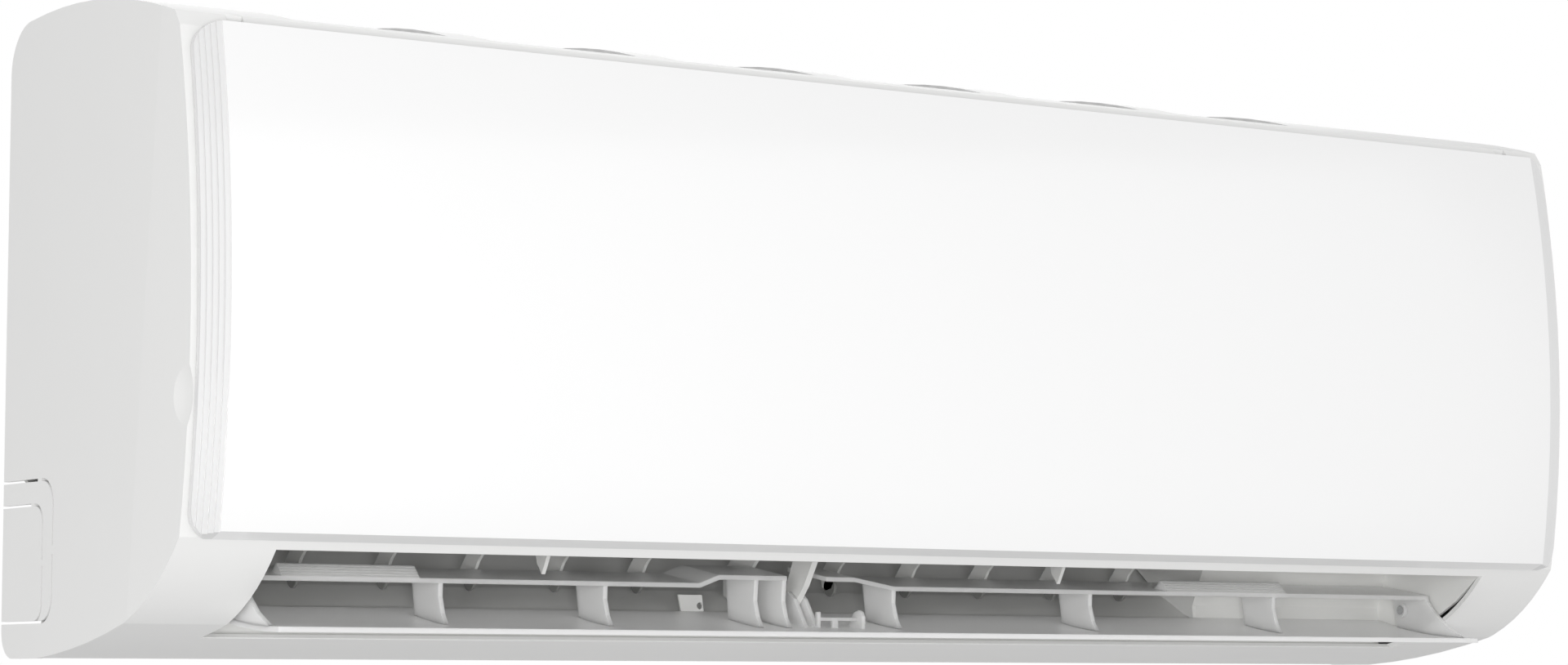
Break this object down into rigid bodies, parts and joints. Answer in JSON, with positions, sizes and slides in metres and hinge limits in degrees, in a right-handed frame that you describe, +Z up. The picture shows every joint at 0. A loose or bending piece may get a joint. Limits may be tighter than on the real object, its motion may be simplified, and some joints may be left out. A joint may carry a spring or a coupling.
{
  "type": "split air conditioner indoor unit",
  "caption": "Wide wall-hung indoor unit of a split air conditioner, with a bowed hinged front panel, top air intake grille, cross-flow fan and open louvre over a vaned air outlet.",
  "frame": {"origin": "on the wall face, behind the middle of the mounting plate", "axes": "+X along the unit, to the right as seen from the room, +Y into the wall, +Z up"},
  "size_m": [0.845, 0.207, 0.304],
  "materials": {
    "casing_white": "fine satin moulding",
    "panel_white": "smooth moulding",
    "duct_grey": "satin moulding",
    "louvre_white": "satin moulding",
    "vane_white": "satin moulding",
    "link_black": "satin moulding",
    "fan_plastic": "glass-filled moulding",
    "shaft_steel": "ground bar",
    "bearing_rubber": "moulded rubber",
    "motor_steel": "zinc-plated shell",
    "clamp_plastic": "moulded",
    "fin_aluminium": "coated fin stock",
    "coil_plate_steel": "galvanised sheet",
    "pipe_copper": "drawn tube",
    "filter_mesh": "moulded mesh",
    "board_green": "coated laminate",
    "terminal_black": "moulded",
    "screw_steel": "zinc plated",
    "plate_steel": "galvanised sheet"
  },
  "bodies": {
    "housing": {"casing_screw_1": "screw_steel", "casing_screw_2": "screw_steel", "casing_screw_3": "screw_steel", "casing_screw_4": "screw_steel", "centre_arm": "duct_grey", "coil_end_left": "coil_plate_steel", "coil_end_right": "coil_plate_steel", "coil_front_lower": "fin_aluminium", "coil_front_upper": "fin_aluminium", "coil_rear": "fin_aluminium", "control_board": "board_green", "control_box": "clamp_plastic", "drain_plug": "bearing_rubber", "fan_bearing": "bearing_rubber", "fan_motor": "motor_steel", "front_casing": "casing_white", "gas_pipe": "pipe_copper", "liquid_pipe": "pipe_copper", "louvre_motor": "motor_steel", "motor_clamp": "clamp_plastic", "mounting_plate": "plate_steel", "outlet_frame": "duct_grey", "rear_chassis": "duct_grey", "receiver_board": "board_green", "terminal_block": "terminal_black", "wiring_cover": "clamp_plastic"},
    "panel": {"front_panel": "panel_white"},
    "filter_left_frame": {"filter_left": "filter_mesh"},
    "filter_right_frame": {"filter_right": "filter_mesh"},
    "louvre": {"louvre_flap": "louvre_white", "louvre_deck_left": "louvre_white", "louvre_deck_right": "louvre_white", "louvre_drive": "shaft_steel"},
    "fan": {"cross_flow_fan": "fan_plastic", "stub_shaft": "shaft_steel", "motor_shaft": "shaft_steel"},
    "button": {"aux_button": "clamp_plastic"},
    "left_link": {"link_left": "link_black"},
    "right_link": {"link_right": "link_black"},
    "vane_1": {"deflector_1": "vane_white"},
    "vane_2": {"deflector_2": "vane_white"},
    "vane_3": {"deflector_3": "vane_white"},
    "vane_4": {"deflector_4": "vane_white"},
    "vane_5": {"deflector_5": "vane_white"},
    "vane_6": {"deflector_6": "vane_white"},
    "vane_7": {"deflector_7": "vane_white"},
    "vane_8": {"deflector_8": "vane_white"},
    "vane_9": {"deflector_9": "vane_white"},
    "vane_10": {"deflector_10": "vane_white"}
  },
  "joints": [
    {"name": "panel_hinge", "type": "hinge", "parent": "housing", "child": "panel", "pos_m": [0, -0.1845, 0.1275], "axis": [-1, 0, 0], "range_deg": [0, 60]},
    {"name": "left_filter_lift", "type": "slide", "parent": "housing", "child": "filter_left_frame", "axis": [0, 0, 1], "range_m": [0, 0.005]},
    {"name": "right_filter_lift", "type": "slide", "parent": "housing", "child": "filter_right_frame", "axis": [0, 0, 1], "range_m": [0, 0.005]},
    {"name": "louvre_hinge", "type": "hinge", "parent": "housing", "child": "louvre", "pos_m": [0, -0.1282, -0.1207], "axis": [1, 0, 0], "range_deg": [-33, 30]},
    {"name": "fan_spin", "type": "hinge", "parent": "housing", "child": "fan", "pos_m": [-0.06, -0.095, -0.024], "axis": [1, 0, 0], "continuous": true},
    {"name": "button_push", "type": "slide", "parent": "housing", "child": "button", "axis": [0, 1, 0], "range_m": [0, 0.001], "stiffness_N_per_m": 400},
    {"name": "vane_1_swing", "type": "hinge", "parent": "housing", "child": "vane_1", "pos_m": [-0.316, -0.148, -0.071], "axis": [0, 0.565, -0.8251], "range_deg": [-30, 30]},
    {"name": "vane_2_swing", "type": "hinge", "parent": "housing", "child": "vane_2", "pos_m": [-0.268, -0.148, -0.071], "axis": [0, 0.565, -0.8251], "range_deg": [-30, 30]},
    {"name": "vane_3_swing", "type": "hinge", "parent": "housing", "child": "vane_3", "pos_m": [-0.22, -0.148, -0.071], "axis": [0, 0.565, -0.8251], "range_deg": [-30, 30]},
    {"name": "vane_4_swing", "type": "hinge", "parent": "housing", "child": "vane_4", "pos_m": [-0.172, -0.148, -0.071], "axis": [0, 0.565, -0.8251], "range_deg": [-30, 30]},
    {"name": "vane_5_swing", "type": "hinge", "parent": "housing", "child": "vane_5", "pos_m": [-0.124, -0.148, -0.071], "axis": [0, 0.565, -0.8251], "range_deg": [-30, 30]},
    {"name": "vane_6_swing", "type": "hinge", "parent": "housing", "child": "vane_6", "pos_m": [-0.006, -0.148, -0.071], "axis": [0, 0.565, -0.8251], "range_deg": [-30, 30]},
    {"name": "vane_7_swing", "type": "hinge", "parent": "housing", "child": "vane_7", "pos_m": [0.042, -0.148, -0.071], "axis": [0, 0.565, -0.8251], "range_deg": [-30, 30]},
    {"name": "vane_8_swing", "type": "hinge", "parent": "housing", "child": "vane_8", "pos_m": [0.09, -0.148, -0.071], "axis": [0, 0.565, -0.8251], "range_deg": [-30, 30]},
    {"name": "vane_9_swing", "type": "hinge", "parent": "housing", "child": "vane_9", "pos_m": [0.138, -0.148, -0.071], "axis": [0, 0.565, -0.8251], "range_deg": [-30, 30]},
    {"name": "vane_10_swing", "type": "hinge", "parent": "housing", "child": "vane_10", "pos_m": [0.186, -0.148, -0.071], "axis": [0, 0.565, -0.8251], "range_deg": [-30, 30]},
    {"name": "left_link_pin", "type": "hinge", "parent": "vane_1", "child": "left_link", "pos_m": [-0.316, -0.15447, -0.08634], "axis": [0, 0.565, -0.8251], "range_deg": [-30, 30]},
    {"name": "right_link_pin", "type": "hinge", "parent": "vane_6", "child": "right_link", "pos_m": [-0.006, -0.15447, -0.08634], "axis": [0, 0.565, -0.8251], "range_deg": [-30, 30]}
  ],
  "couplings": [
    {"joint": "vane_2_swing", "follows": "vane_1_swing", "ratio": 1},
    {"joint": "vane_3_swing", "follows": "vane_1_swing", "ratio": 1},
    {"joint": "vane_4_swing", "follows": "vane_1_swing", "ratio": 1},
    {"joint": "vane_5_swing", "follows": "vane_1_swing", "ratio": 1},
    {"joint": "vane_7_swing", "follows": "vane_6_swing", "ratio": 1},
    {"joint": "vane_8_swing", "follows": "vane_6_swing", "ratio": 1},
    {"joint": "vane_9_swing", "follows": "vane_6_swing", "ratio": 1},
    {"joint": "vane_10_swing", "follows": "vane_6_swing", "ratio": 1},
    {"joint": "left_link_pin", "follows": "vane_1_swing", "ratio": -1},
    {"joint": "right_link_pin", "follows": "vane_6_swing", "ratio": -1}
  ]
}
